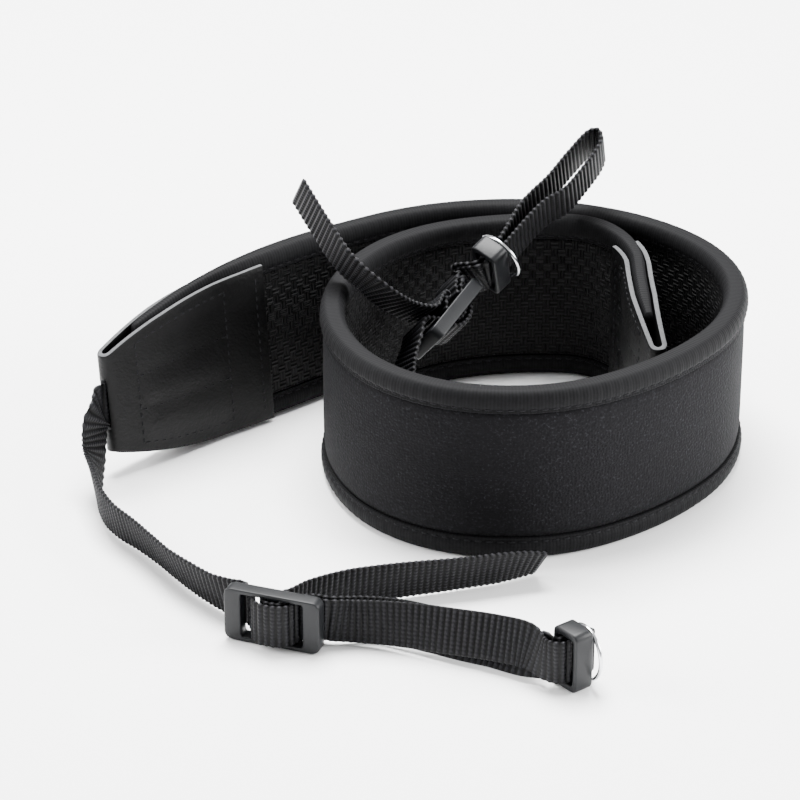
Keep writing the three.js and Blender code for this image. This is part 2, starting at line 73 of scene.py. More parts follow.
BAND_WIDTH = 50.0
ROLL_RADIUS = 3.5
FOAM_OUT = 2.7
FOAM_IN = 1.5
FOAM_PINCH = 1.3
SEAM = 6.3
LINING = 1.0
GAP = 0.3
END_LOW, END_HIGH = 6.8, 36.0
LOW_TAPER, HIGH_TAPER = 40.0, 70.0
FOLD_MIDDLE = (END_LOW + END_HIGH) / 2
BAND_START = 12.0
LINING_START = 40.0

TAB_DROP = 2.3        # how far the tab's upper edge ends below the band's
TAB_RISE = 0.4        # and how far its lower edge stays above the band's
TAB_WALL = 1.4
TAB_REACH = {"outer": 55.0, "inner": 47.5}
TAB_FOLD = 1.9
TAB_FLAT = 20.0
SLOT_HEIGHT = 14.8
# Share of its thickness that the band keeps, at distances from the nearer fold.
SQUEEZE = [(12.0, 0.4), (20.0, 0.6), (38.0, 0.6), (62.0, 1.0)]

WEB_WIDTH = 12.0
WEB_THICK = 1.4
SLIDER = {"long": 26.2, "high": 15.0, "thick": 4.0, "end": 4.6, "rail": 1.2, "bar": 3.2, "bar_thick": 2.2}
KEEPER = {"long": 5.6, "high": 16.8, "thick": 9.0, "wall": 1.5, "cap": 1.9}
RING = {"radius": 7.1, "wire": 0.55, "sides": 72, "wire_sides": 14}

# Where the middle line of the band starts, seen from above: x, y and heading in degrees.
START = (-118.6, -9.7, 42.4)
# Its arcs: run, turn in degrees (negative is to the right), and how far the top edge leans outward, in degrees.
SPINE = [
    (70.9, -1.7, 5.5), (26.5, -6.1, 5.0), (33.5, -26.1, 3.0), (31.9, -28.8, 1.0), (33.0, -30.7, 0.0),
    (36.2, -41.3, 0.0), (35.1, -33.4, 0.0), (37.0, -23.9, 0.0), (36.5, -40.5, 0.0), (40.0, -51.6, 0.0),
    (35.7, -32.6, 0.0), (31.1, -28.3, 0.0), (33.7, -39.4, 0.0), (31.5, -22.9, 0.0), (14.4, -45.0, 0.0),
    (20.4, -39.6, 0.0), (34.2, 13.0, 0.0),
]
BAND_LENGTH = sum(row[0] for row in SPINE)


def middle(node):
    low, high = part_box(node)
    return (low + high) / 2 / MM


def axes_of(along, up):
    """Axes of a fitting: along the webbing, back through its thickness, and up across its width."""
    a = Vector(along).normalized()
    back = Vector(up).cross(a).normalized()
    return {"along": a, "back": back, "up": a.cross(back).normalized()}


FITTINGS = {
    "slider_outer": axes_of((0.94, -0.342, 0), (0, 0, 1)),
    "slider_inner": axes_of((0.472, 0.853, 0.229), (0.485, -0.468, 0.742)),
    "keeper_outer": axes_of((0.788, 0.616, 0), (0, 0, 1)),
    "keeper_inner": axes_of((0.67, 0.61, 0.42), (-0.1, -0.49, 0.87)),
}
CENTRES = {name: middle(name) for name in FITTINGS}
# The band's own numbers count from the middle of the coil, and this carries them to the model's origin.
SHIFT = CENTRES["slider_outer"] - Vector((-70.6, -101.2, 7.6))


def lerp(a, b, f):
    return a + (b - a) * f


def table(rows, at):
    """Straight-line reading of a table of (place, value)."""
    if at <= rows[0][0]:
        return rows[0][1]
    for (a, va), (b, vb) in zip(rows, rows[1:]):
        if at <= b:
            return lerp(va, vb, (at - a) / (b - a))
    return rows[-1][1]


def spine_at(distance):
    x, y, heading = START[0], START[1], radians(START[2])
    left = distance
    for i, (run, turn, lean) in enumerate(SPINE):
        last = i == len(SPINE) - 1
        part = left if last else min(left, run)
        bend = radians(turn) * part / run
        chord = part * (sin(bend / 2) / (bend / 2) if abs(bend) > 1e-9 else 1)
        x += chord * cos(heading + bend / 2)
        y += chord * sin(heading + bend / 2)
        heading += bend
        left -= part
        if left <= 1e-9 or last:
            nearer = lean if last else SPINE[i + 1][2]
            return x, y, heading, radians(lerp(lean, nearer, min(part / run, 1)))
    raise ValueError("the band has no place at this distance")


def coil(run, out, up):
    """A point of the flat band (along it, out from its middle, up from its lower edge) on the coiled band."""
    x, y, heading, lean = spine_at(run)
    side = out * cos(lean) + up * sin(lean)
    height = up * cos(lean) + (ROLL_RADIUS - out) * sin(lean)
    return Vector((x - side * sin(heading), y + side * cos(heading), height)) + SHIFT


def edges(from_fold):
    low = max(1 - max(from_fold, 0) / LOW_TAPER, 0) ** 2
    high = max(1 - max(from_fold, 0) / HIGH_TAPER, 0) ** 2.6
    return END_LOW * low, BAND_WIDTH - (BAND_WIDTH - END_HIGH) * high


def tapered(run, z):
    """Height on the tapered band of a point of the full-width section."""
    low, high = edges(min(run, BAND_LENGTH - run))
    rim = SEAM + 1
    if z <= rim:
        return low + z
    if z >= BAND_WIDTH - rim:
        return high - (BAND_WIDTH - z)
    return lerp(low + rim, high - rim, (z - rim) / (BAND_WIDTH - 2 * rim))


def squeezed(run):
    return table(SQUEEZE, min(run, BAND_LENGTH - run))


def on_band(run, out, z):
    return coil(run, out * squeezed(run), tapered(run, z))


def steps(start, end, pitch):
    count = max(1, ceil((end - start) / pitch))
    return [lerp(start, end, i / count) for i in range(count + 1)]


# ---------------------------------------------------------------------------------------------
# Meshes

# From one ring of points to the next along the pad, the bindings and the webbing.
PAD_PITCH = 2.0
TAPE_PITCH = 0.75
WEB_PITCH = 0.28

FLAT = "flat_mm"  # each point's place on the flat strap: along it, across it, through it


def loft(rings):
    """Points and faces of a closed tube through rings of equally many points."""
    count = len(rings[0])
    points = [p for ring in rings for p in ring]
    faces = []
    for i in range(len(rings) - 1):
        for k in range(count):
            a, b = i * count + k, i * count + (k + 1) % count
            faces.append((a, b, b + count, a + count))
    faces.append(tuple(reversed(range(count))))
    faces.append(tuple(range(len(points) - count, len(points))))
    return points, faces


def joined(shells):
    points, faces = [], []
    for some, around in shells:
        faces += [tuple(i + len(points) for i in face) for face in around]
        points += some
    return points, faces


def piece(name, nodes, shell, materials, flat=None, second=()):
    """Makes a piece of the strap from a shell in millimetres, standing for nodes of the solid model.

    flat holds each point's place on the flat strap, and second the faces that take the second material.
    """
    points, faces = shell
    mesh = bpy.data.meshes.new(name)
    mesh.from_pydata([p * MM for p in points], [], faces)
    for material in materials:
        mesh.materials.append(material)
    for i in second:
        mesh.polygons[i].material_index = 1
    marks = mesh.attributes.new(FLAT, "FLOAT_VECTOR", "POINT")
    marks.data.foreach_set("vector", [c for p in (flat or points) for c in p])
    work = bmesh.new()
    work.from_mesh(mesh)
    bmesh.ops.recalc_face_normals(work, faces=work.faces)
    work.to_mesh(mesh)
    work.free()
    mesh.polygons.foreach_set("use_smooth", [True] * len(mesh.polygons))
    made = bpy.data.objects.new(name, mesh)
    bpy.context.scene.collection.objects.link(made)
    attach(made, "root")
    if nodes:
        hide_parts(*nodes)
    return made


def bevelled(made, width, segments, angle=35):
    bevel = made.modifiers.new("rounded edges", "BEVEL")
    bevel.width = width * MM
    bevel.segments = segments
    bevel.limit_method = "ANGLE"
    bevel.angle_limit = radians(angle)
    bevel.harden_normals = False
    return made


# ---------------------------------------------------------------------------------------------
# Materials


def linear(code):
    """An sRGB hex colour as the linear colour that a shader works in."""
    parts = [int(code[i:i + 2], 16) / 255 for i in (1, 3, 5)]
    return tuple(c / 12.92 if c <= 0.04045 else ((c + 0.055) / 1.055) ** 2.4 for c in parts) + (1.0,)


def add(tree, kind, inputs=None, **settings):
    """Adds a node with its settings, and the values or links of its inputs."""
    made = tree.nodes.new(kind)
    for key, value in settings.items():
        setattr(made, key, value)
    for key, value in (inputs or {}).items():
        if isinstance(value, bpy.types.NodeSocket):
            tree.links.new(value, made.inputs[key])
        else:
            made.inputs[key].default_value = value
    return made


def new_material(name):
    material = bpy.data.materials.new(name)
    material.use_nodes = True
    material.node_tree.nodes.clear()
    return material, material.node_tree


def shade(tree, inputs):
    shader = add(tree, "ShaderNodeBsdfPrincipled", inputs)
    add(tree, "ShaderNodeOutputMaterial", {"Surface": shader.outputs["BSDF"]})


def flat_place(tree, scale=(1, 1, 1)):
    """The place on the flat strap, in millimetres, so that a pattern's scale is one over its size."""
    marks = add(tree, "ShaderNodeAttribute", attribute_name=FLAT)
    mapped = add(tree, "ShaderNodeMapping", {"Vector": marks.outputs["Vector"], "Scale": scale})
    return mapped.outputs["Vector"]


WAVE = 0.31416  # a wave texture of scale 1 repeats each 0.31416, so its scale is this over the pitch


def neoprene_jersey(colours):
    # Polyester jersey laminated on foam: a dull, almost black face with a haze of lighter filament ends.
    # Its loops are about 0.5 mm, and are drawn at 0.85 mm so that they show.
    loop, filament, cloud_size = 0.85, 0.7, 22
    material, tree = new_material("polyester jersey, knitted")
    place = flat_place(tree)
    loops = add(tree, "ShaderNodeTexVoronoi", {"Vector": place, "Scale": 1 / loop, "Randomness": 0.75})
    yarn = add(tree, "ShaderNodeTexNoise", {
        "Vector": place, "Scale": 1 / filament, "Detail": 3.0, "Roughness": 0.7})
    specks = add(tree, "ShaderNodeMapRange", {
        "Value": yarn.outputs["Fac"], "From Min": 0.54, "From Max": 0.72})
    cloud = add(tree, "ShaderNodeTexNoise", {"Vector": place, "Scale": 1 / cloud_size, "Detail": 2.0})
    haze = add(tree, "ShaderNodeMath", {
        0: specks.outputs["Result"], 1: cloud.outputs["Fac"]}, operation="MULTIPLY")
    base = add(tree, "ShaderNodeMix", {
        "Factor": haze.outputs["Value"], "A": colours.jersey, "B": colours.jersey_speck}, data_type="RGBA")
    bump = add(tree, "ShaderNodeBump", {
        "Height": loops.outputs["Distance"], "Strength": 0.5, "Distance": 0.00035})
    shade(tree, {
        "Base Color": base.outputs["Result"], "Roughness": 0.85, "IOR": 1.45, "Specular IOR Level": 0.12,
        "Normal": bump.outputs["Normal"]})
    return material


def grip_rubber(colours):
    # Silicone-coated lining, embossed: small blocks of ridges that turn a quarter from one block to the next.
    # The blocks are about 1.8 mm, and are drawn at 2.2 mm so that they show.
    block = 2.2
    material, tree = new_material("coated grip fabric, embossed")
    place = flat_place(tree, (1, 1, 0))
    checks = add(tree, "ShaderNodeTexChecker", {"Vector": place, "Scale": 1 / block})
    lengthwise = add(tree, "ShaderNodeTexWave", {
        "Vector": place, "Scale": WAVE / (block / 2)}, bands_direction="X")
    across = add(tree, "ShaderNodeTexWave", {
        "Vector": place, "Scale": WAVE / (block / 2)}, bands_direction="Y")
    ridge = add(tree, "ShaderNodeMix", {
        "Factor": checks.outputs["Fac"], "A": lengthwise.outputs["Fac"], "B": across.outputs["Fac"]})
    bump = add(tree, "ShaderNodeBump", {
        "Height": ridge.outputs["Result"], "Strength": 0.9, "Distance": 0.0004})
    # Painted shade: the base colour is darker in the grooves between the ridges than on the ridges.
    base = add(tree, "ShaderNodeMix", {
        "Factor": ridge.outputs["Result"], "A": colours.grip_groove_painted_shade, "B": colours.grip}, data_type="RGBA")
    shade(tree, {
        "Base Color": base.outputs["Result"], "Roughness": 0.55, "IOR": 1.45, "Specular IOR Level": 0.12,
        "Normal": bump.outputs["Normal"]})
    return material


def elastic_tape(colours):
    # Elastic binding, woven: fine ribs over the edge catch the light one by one, and painted shade darkens the
    # base colour between them.
    # The ribs are about 0.6 mm, and are drawn at 0.9 mm so that they show.
    rib, fibre = 0.9, 0.5
    material, tree = new_material("elastic binding, woven")
    place = flat_place(tree)
    ribs = add(tree, "ShaderNodeTexWave", {"Vector": place, "Scale": WAVE / rib}, bands_direction="X")
    fuzz = add(tree, "ShaderNodeTexNoise", {"Vector": place, "Scale": 1 / fibre, "Detail": 2.0})
    height = add(tree, "ShaderNodeMath", {
        0: ribs.outputs["Fac"], 1: fuzz.outputs["Fac"]}, operation="ADD")
    bump = add(tree, "ShaderNodeBump", {
        "Height": height.outputs["Value"], "Strength": 0.35, "Distance": 0.00015})
    # Painted shade: the base colour is darker between the ribs than on them.
    base = add(tree, "ShaderNodeMix", {
        "Factor": ribs.outputs["Fac"], "A": colours.tape_groove_painted_shade, "B": colours.tape}, data_type="RGBA")
    shade(tree, {
        "Base Color": base.outputs["Result"], "Roughness": 0.72, "IOR": 1.45, "Specular IOR Level": 0.12,
        "Normal": bump.outputs["Normal"]})
    return material


def leatherette(colours):
    # Polyurethane leatherette, calendered: a tight pebble grain with a soft, even gloss.
    pebble, pore, rubbed_patch = 0.9, 0.6, 9
    material, tree = new_material("polyurethane leatherette, calendered")
    place = flat_place(tree)
    pebbles = add(tree, "ShaderNodeTexVoronoi", {"Vector": place, "Scale": 1 / pebble}, feature="SMOOTH_F1")
    fine = add(tree, "ShaderNodeTexNoise", {"Vector": place, "Scale": 1 / pore, "Detail": 3.0})
    height = add(tree, "ShaderNodeMath", {
        0: pebbles.outputs["Distance"], 1: fine.outputs["Fac"]}, operation="ADD")
    bump = add(tree, "ShaderNodeBump", {
        "Height": height.outputs["Value"], "Strength": 0.35, "Distance": 0.00025})
    wear = add(tree, "ShaderNodeTexNoise", {"Vector": place, "Scale": 1 / rubbed_patch, "Detail": 4.0})
    gloss = add(tree, "ShaderNodeMapRange", {"Value": wear.outputs["Fac"], "To Min": 0.42, "To Max": 0.6})
    base = add(tree, "ShaderNodeMix", {
        "Factor": wear.outputs["Fac"], "A": colours.leather, "B": colours.leather_worn}, data_type="RGBA")
    shade(tree, {
        "Base Color": base.outputs["Result"], "Roughness": gloss.outputs["Result"], "IOR": 1.5,
        "Specular IOR Level": 0.16, "Normal": bump.outputs["Normal"]})
    return material


def cut_edge(colours):
    # The same leatherette where the knife went through: its pale backing shows as a thin matt line.
    fibre = 0.8
    material, tree = new_material("leatherette backing, cut")
    place = flat_place(tree)
    fibres = add(tree, "ShaderNodeTexNoise", {"Vector": place, "Scale": 1 / fibre, "Detail": 4.0})
    base = add(tree, "ShaderNodeMix", {
        "Factor": fibres.outputs["Fac"], "A": colours.edge_dark, "B": colours.edge}, data_type="RGBA")
    bump = add(tree, "ShaderNodeBump", {"Height": fibres.outputs["Fac"], "Strength": 0.5, "Distance": 0.0002})
    shade(tree, {
        "Base Color": base.outputs["Result"], "Roughness": 0.9, "IOR": 1.5, "Normal": bump.outputs["Normal"]})
    return material


def woven_webbing(colours):
    # Polyester webbing, woven: round picks lie across it in rows, each wrapped by short lengthwise yarns.
    rib, yarn, filament = bpy.context.scene.strap_sizes.rib / MM, 1.1, 0.5
    material, tree = new_material("polyester webbing, woven")
    place = flat_place(tree)
    ribs = add(tree, "ShaderNodeTexWave", {
        "Vector": place, "Scale": WAVE / rib, "Phase Offset": pi}, bands_direction="X")
    yarns = add(tree, "ShaderNodeTexWave", {
        "Vector": place, "Scale": WAVE / yarn, "Distortion": 0.8, "Detail Scale": 3.0}, bands_direction="Y")
    fibre = add(tree, "ShaderNodeTexNoise", {"Vector": place, "Scale": 1 / filament, "Detail": 2.0})
    crossing = add(tree, "ShaderNodeMath", {
        0: yarns.outputs["Fac"], 1: 0.55, 2: 0.45}, operation="MULTIPLY_ADD")
    raised = add(tree, "ShaderNodeMath", {
        0: ribs.outputs["Fac"], 1: crossing.outputs["Value"]}, operation="MULTIPLY")
    rough = add(tree, "ShaderNodeMath", {
        0: fibre.outputs["Fac"], 1: 0.4, 2: raised.outputs["Value"]}, operation="MULTIPLY_ADD")
    bump = add(tree, "ShaderNodeBump", {"Height": rough.outputs["Value"], "Strength": 0.8, "Distance": 0.0003})
    # Painted shade: the base colour goes near black in the grooves between the ribs and between the yarns, where
    # the surface dips.
    base = add(tree, "ShaderNodeMix", {
        "Factor": raised.outputs["Value"], "A": colours.web_groove_painted_shade, "B": colours.web}, data_type="RGBA")
    shade(tree, {
        "Base Color": base.outputs["Result"], "Roughness": 0.55, "IOR": 1.45, "Specular IOR Level": 0.15,
        "Normal": bump.outputs["Normal"]})
    return material


def sewing_thread(colours):
    # Bonded polyester thread, twisted: a small round highlight on each stitch.
    ply = 0.4
    material, tree = new_material("polyester thread, twisted")
    place = flat_place(tree)
    twist = add(tree, "ShaderNodeTexNoise", {"Vector": place, "Scale": 1 / ply, "Detail": 1.0})
    base = add(tree, "ShaderNodeMix", {
        "Factor": twist.outputs["Fac"], "A": colours.thread_dark, "B": colours.thread}, data_type="RGBA")
    bump = add(tree, "ShaderNodeBump", {"Height": twist.outputs["Fac"], "Strength": 0.4, "Distance": 0.0001})
    shade(tree, {
        "Base Color": base.outputs["Result"], "Roughness": 0.7, "IOR": 1.5, "Specular IOR Level": 0.12,
        "Normal": bump.outputs["Normal"]})
    return material


def moulded_acetal(colours):
    # Acetal, injection moulded in a spark-eroded tool: a fine even grain and a broad, soft highlight.
    grit, rubbed_patch = 0.45, 5
    material, tree = new_material("acetal, moulded")
    place = flat_place(tree)
    grain = add(tree, "ShaderNodeTexNoise", {"Vector": place, "Scale": 1 / grit, "Detail": 2.0})
    rub = add(tree, "ShaderNodeTexNoise", {"Vector": place, "Scale": 1 / rubbed_patch, "Detail": 3.0})
    gloss = add(tree, "ShaderNodeMapRange", {"Value": rub.outputs["Fac"], "To Min": 0.36, "To Max": 0.5})
    base = add(tree, "ShaderNodeMix", {
        "Factor": rub.outputs["Fac"], "A": colours.plastic, "B": colours.plastic_rubbed}, data_type="RGBA")
    bump = add(tree, "ShaderNodeBump", {"Height": grain.outputs["Fac"], "Strength": 0.25, "Distance": 0.0001})
    shade(tree, {
        "Base Color": base.outputs["Result"], "Roughness": gloss.outputs["Result"], "IOR": 1.48,
        "Specular IOR Level": 0.22, "Normal": bump.outputs["Normal"]})
    return material


def chromed_steel(colours):
    # Steel wire, chrome plated: a clean mirror with faint handling marks.
    smudge = 1.5
    material, tree = new_material("steel wire, chrome plated")
    place = flat_place(tree)
    marks = add(tree, "ShaderNodeTexNoise", {"Vector": place, "Scale": 1 / smudge, "Detail": 3.0})
    gloss = add(tree, "ShaderNodeMapRange", {"Value": marks.outputs["Fac"], "To Min": 0.06, "To Max": 0.2})
    shade(tree, {"Base Color": colours.chrome, "Metallic": 1.0, "Roughness": gloss.outputs["Result"]})
    return material


def matt_board(colours):
    # Painted board, rolled: plain and matt.
    material, tree = new_material("board, painted")
    shade(tree, {"Base Color": colours.board, "Roughness": 0.95, "IOR": 1.45})
    return material


# ---------------------------------------------------------------------------------------------
# Shapes of the pieces


def pad_section():
    """Foam with its jersey: slightly crowned between the bindings, pinched flat inside them."""
    heights = [3.3, 4.6, 6.0] + steps(6.7, BAND_WIDTH - 6.7, 1.6) + [44.0, 45.4, 46.7]
    out, back = [], []
    for z in heights:
        share = abs(z - BAND_WIDTH / 2) / (BAND_WIDTH / 2 - SEAM)
        inside = share > 1
        out.append((FOAM_PINCH if inside else FOAM_OUT - 0.5 * share ** 8, z))
        back.append((-FOAM_PINCH if inside else -lerp(FOAM_IN, FOAM_PINCH, share ** 2), z))
    return out + back[::-1]


def lining_section():
    """A thin sheet against the foam's inner face, its two long edges eased."""
    back, front = -FOAM_IN - GAP, -FOAM_IN - GAP - LINING
    low, high = SEAM + GAP, BAND_WIDTH - SEAM - GAP
    return [
        (back, high), (back, low), (front + 0.25, low), (front, low + 0.4), (front, high - 0.4),
        (front + 0.25, high),
    ]


SEWN_IN = 1.1         # from the tape's edge to its stitches
SEWN_DEPTH = 0.6      # how deep they pull the tape in
FLAT_SHARE = 0.38     # share of the rolled edge's width that lies flat on the table
ROLL_HEIGHT = 3.6     # from the flat to where the roll has its full width


def binding_section(upper):
    """Tape rolled over an edge, with the groove where it is sewn, and open towards the foam that it holds."""
    r, inside = ROLL_RADIUS, FOAM_PINCH + GAP
    half = [(r - 1.1, SEAM), (r - 0.6, SEAM - 0.1), (r - 0.35, SEAM - 0.4),
            (r - 0.7, 5.3), (r - 0.65, 5.1), (r - 0.2, 4.6), (r - 0.02, 4.1)]
    for a in steps(0, pi / 2, pi / 16 + 1e-9):
        half.append((r * (FLAT_SHARE + (1 - FLAT_SHARE) * cos(a)), ROLL_HEIGHT * (1 - sin(a))))
    mirror = [(-x, z) for x, z in half][::-1]
    bore = [(-inside, SEAM), (-inside, 3.0), (inside, 3.0), (inside, SEAM)]
    section = mirror + bore + half
    return [(x, BAND_WIDTH - z if upper else z) for x, z in section]


PUCKER_PITCH = 3.0
PUCKER_FROM = 2.2     # out from the band's middle: only the tape's outside swells


def band_shell(section, start, end, pitch, pucker=0.0):
    """Runs a section along the band. pucker is how far it swells between one stitch and the next."""
    rings, flat = [], []
    mid = sum(z for _, z in section) / len(section)
    for run in steps(start, end, pitch):
        swell = pucker * cos(2 * pi * run / PUCKER_PITCH)
        ring = []
        for out, z in section:
            away = (1 if out > 0 else -1) * (abs(out) > PUCKER_FROM)
            ring.append(on_band(run, out + away * swell, z))
            flat.append((run, z + out * (1 if z > mid else -1) / 2, out))
        rings.append(ring)
    return loft(rings), flat


FOLD_STEPS = 16
SLOT_INSET = 5        # steps of the fold on either side of the slot


def tab_clear(r):
    """From the band's middle to the middle of the tab's wall, at a distance from the fold."""
    if r < TAB_FLAT:
        return lerp(TAB_FOLD, tab_clear(TAB_FLAT), (r - TAB_FOLD) / (TAB_FLAT - TAB_FOLD))
    return ROLL_RADIUS * table(SQUEEZE, r) + GAP + TAB_WALL / 2


def tab_path(reach):
    """Plan of a tab from its end on the inner face, round the fold, to its end on the outer face."""
    places = steps(3.6, TAB_FLAT, 1.9)[:-1] + steps(TAB_FLAT, reach, 2.0)
    path = [Vector((r, -tab_clear(r))) for r in reversed(places)]
    # The webbing comes out through the middle of the fold.
    hole = range(len(path) + SLOT_INSET, len(path) + FOLD_STEPS - SLOT_INSET)
    for i in range(FOLD_STEPS + 1):
        a = -pi / 2 - pi * i / FOLD_STEPS
        path.append(Vector((TAB_FOLD * (1 + cos(a)), TAB_FOLD * sin(a))))
    return path + [Vector((r, tab_clear(r))) for r in places], hole


def tab_height(r, share):
    low, high = edges(r)
    return lerp(low + TAB_RISE, high - TAB_DROP * min(r / TAB_REACH["inner"], 1), share)


def on_tab(end, r, t, share):
    return coil(r if end == "outer" else BAND_LENGTH - r, t, tab_height(r, share))


STITCH_ROWS = (0.08, 0.36, 0.64, 0.92)    # shares of the tab's height
STITCH_COLUMNS = (9.5, 41.0)              # from the fold
COLUMN_SHARES = (0.06, 0.94)              # where a column of stitches starts and ends
END_COLUMN = 3.0                          # the last column's distance from the end of the tab
QUILT = 0.45
QUILT_RAMP = 4.0


def quilting(r, share):
    """How far the leatherette swells between its rows of stitches."""
    (near, far), rows = STITCH_COLUMNS, STITCH_ROWS
    if not (near < r < far and rows[0] < share < rows[-1]):
        return 0
    across = abs(sin(pi * (share - rows[0]) / (rows[1] - rows[0]))) ** 0.6
    return QUILT * across * min(1, (r - near) / QUILT_RAMP, (far - r) / QUILT_RAMP)


def tab_shell(end):
    """A tab as one wall on a grid of cells, less those of its slot, and a list of the faces at its cut edges."""
    path, hole = tab_path(TAB_REACH[end])
    low, high = tab_height(0, 0), tab_height(0, 1)
    slot = [(FOLD_MIDDLE + s * SLOT_HEIGHT / 2 - low) / (high - low) for s in (-1, 1)]
    below, beside, above = (steps(a, b, 0.05) for a, b in ((0, slot[0]), slot, (slot[1], 1)))
    shares = below + beside[1:] + above[1:]
    slot_rows = range(len(below) - 1, len(below) + len(beside) - 2)
    across = len(shares)
    points, flat = [], []
    for wall in (TAB_WALL / 2, -TAB_WALL / 2):
        run = 0
        for i, p in enumerate(path):
            before, after = path[max(i - 1, 0)], path[min(i + 1, len(path) - 1)]
            along = (after - before).normalized()
            run += (p - path[i - 1]).length if i else 0
            r, t = p.x - along.y * wall, p.y + along.x * wall
            for share in shares:
                puff = quilting(p.x, share) * (1 if t > 0 else -1) * (wall > 0)
                points.append(on_tab(end, r, t + puff, share))
                flat.append((run, tab_height(r, share), wall))
    other = len(path) * across
    cells = {(i, j) for i in range(len(path) - 1) for j in range(across - 1)
             if not (i in hole and j in slot_rows)}
    faces, cut = [], []
    for i, j in sorted(cells):
        a, b, c, d = (i * across + j, i * across + j + 1, (i + 1) * across + j + 1, (i + 1) * across + j)
        faces += [(a, b, c, d), (a + other, d + other, c + other, b + other)]
        for step, (m, n) in (((-1, 0), (a, b)), ((0, 1), (b, c)), ((1, 0), (c, d)), ((0, -1), (d, a))):
            if (i + step[0], j + step[1]) not in cells:
                cut.append(len(faces))
                faces.append((n, m, m + other, n + other))
    return (points, faces), flat, cut


STITCH_HOLES = (0.12, 0.88)   # where a stitch starts and ends, as shares of the pitch
STITCH_SIDES = 6
STITCH_SINK = 0.25
# A stitch from end to end: share of its length, share of its thickness, and its rise in thicknesses.
STITCH_PROFILE = [
    (0.0, 0.35, -0.9), (0.1, 0.8, -0.1), (0.3, 1.0, 0.35),
    (0.7, 1.0, 0.35), (0.9, 0.8, -0.1), (1.0, 0.35, -0.9),
]


def spaced(line, pitch):
    """Pairs of places along a dense line: where each stitch comes up, and where it goes down."""
    lengths = [0.0]
    for (a, _), (b, _) in zip(line, line[1:]):
        lengths.append(lengths[-1] + (b - a).length)
    count = max(1, round(lengths[-1] / pitch))
    step = lengths[-1] / count

    def place(at):
        i = next(i for i in range(len(line) - 1) if at <= lengths[i + 1] or i == len(line) - 2)
        f = (at - lengths[i]) / ((lengths[i + 1] - lengths[i]) or 1)
        return line[i][0].lerp(line[i + 1][0], f), line[i][1].lerp(line[i + 1][1], f).normalized()

    return [tuple(place(step * (k + hole)) for hole in STITCH_HOLES) for k in range(count)]


def stitch_shell(pairs, thick):
    """Rows of stitches, each a short bowed length of thread between two needle holes."""
    turns = [2 * pi * k / STITCH_SIDES for k in range(STITCH_SIDES)]
    shells = []
    for (a, up_a), (b, up_b) in pairs:
        up = (up_a + up_b).normalized()
        side = (b - a).cross(up).normalized()
        rings = []
        for f, size, rise in STITCH_PROFILE:
            centre = a.lerp(b, f) + up * thick * (rise - STITCH_SINK)
            rings.append([centre + (side * cos(turn) + up * sin(turn)) * thick / 2 * size for turn in turns])
        shells.append(loft(rings))
    return joined(shells)


def band_line(z, sign, start, end, lift):
    """A dense line along a face of the band, with the way out of the face at each place."""
    line = []
    for run in steps(start, end, 2.0):
        at = on_band(run, sign * lift, z)
        line.append((at, (on_band(run, sign * (lift + 1), z) - at).normalized()))
    return line


def tab_line(end, sign, start, finish):
    """A dense line over a tab's face between two places: distance from the fold, and share of the height."""
    line = []
    for f in steps(0, 1, 0.08):
        r, share = (lerp(a, b, f) for a, b in zip(start, finish))
        face = tab_clear(r) + TAB_WALL / 2
        at = on_tab(end, r, sign * face, share)
        line.append((at, (on_tab(end, r, sign * (face + 1), share) - at).normalized()))
    return line


# ---------------------------------------------------------------------------------------------
# Routes of the webbing: place of its middle, tilt of its upper edge and the heading it tilts toward

OUT_OF_TAB_OUTER = [
    (-121.9, -13.0, 20.0, 30, -130), (-122.7, -14.2, 17.6, 62, -122), (-123.0, -15.2, 14.2, 80, -118),
    (-123.0, -17.0, 10.6, 66, -116), (-122.8, -20.6, 7.8, 40, -116), (-122.2, -26.0, 6.6, 18, -120),
    (-121.0, -32.6, 6.5, 8, -130), (-118.4, -41.0, 6.4, 8, -135), (-114.7, -47.7, 6.2, 12, -135),
    (-109.0, -54.9, 6.1, 16, -140), (-103.6, -62.5, 6.0, 19, -146), (-98.1, -71.0, 6.0, 20, -146),
    (-92.1, -79.0, 6.2, 16, -144), (-86.2, -85.6, 6.3, 14, -142), (-81.4, -90.2, 6.9, 6, -140),
]
SLIDER_TO_KEEPER_OUTER = [
    (-51.0, -101.6, 6.9, 5, 80), (-43.0, -102.8, 7.1, 10, 78), (-35.0, -105.2, 7.6, 18, 76),
    (-26.0, -108.7, 8.2, 24, 74), (-14.0, -113.2, 8.8, 26, 70), (-6.2, -118.4, 9.6, 18, 65),
]
KEEPER_TO_SLIDER_OUTER = [
    (-2.0, -118.8, 7.2, 16, 66), (-6.5, -115.6, 5.8, 36, 68), (-14.0, -110.6, 5.1, 46, 70),
    (-22.0, -107.2, 5.2, 44, 72), (-29.0, -104.2, 5.6, 38, 75), (-38.0, -101.0, 6.1, 26, 78),
    (-46.0, -99.4, 6.5, 10, 80),
]
FREE_END_OUTER = [
    (-61.5, -90.4, 7.0, 4, -80), (-52.0, -84.2, 6.5, 6, -70), (-40.1, -80.1, 6.3, 11, -64),
    (-23.4, -76.1, 6.2, 18, -69), (-12.0, -72.9, 6.1, 21, -70), (-6.5, -70.9, 5.9, 27, -73),
    (-1.0, -68.8, 5.4, 37, -75),
]
OUT_OF_TAB_INNER = [
    (34.8, -7.6, 19.6, 10, 180), (33.4, -15.0, 14.4, 25, 180), (27.0, -26.0, 9.0, 15, 130),
    (14.0, -34.0, 6.4, 0, 0), (-3.0, -36.0, 6.4, 0, 0), (-20.0, -31.0, 9.5, 0, 0),
    (-32.0, -21.0, 16.0, 20, 20), (-37.4, -10.0, 23.5, 35, 0), (-37.4, -2.4, 29.0, 40, -30),
    (-35.0, 4.6, 34.6, 42, -42),
]
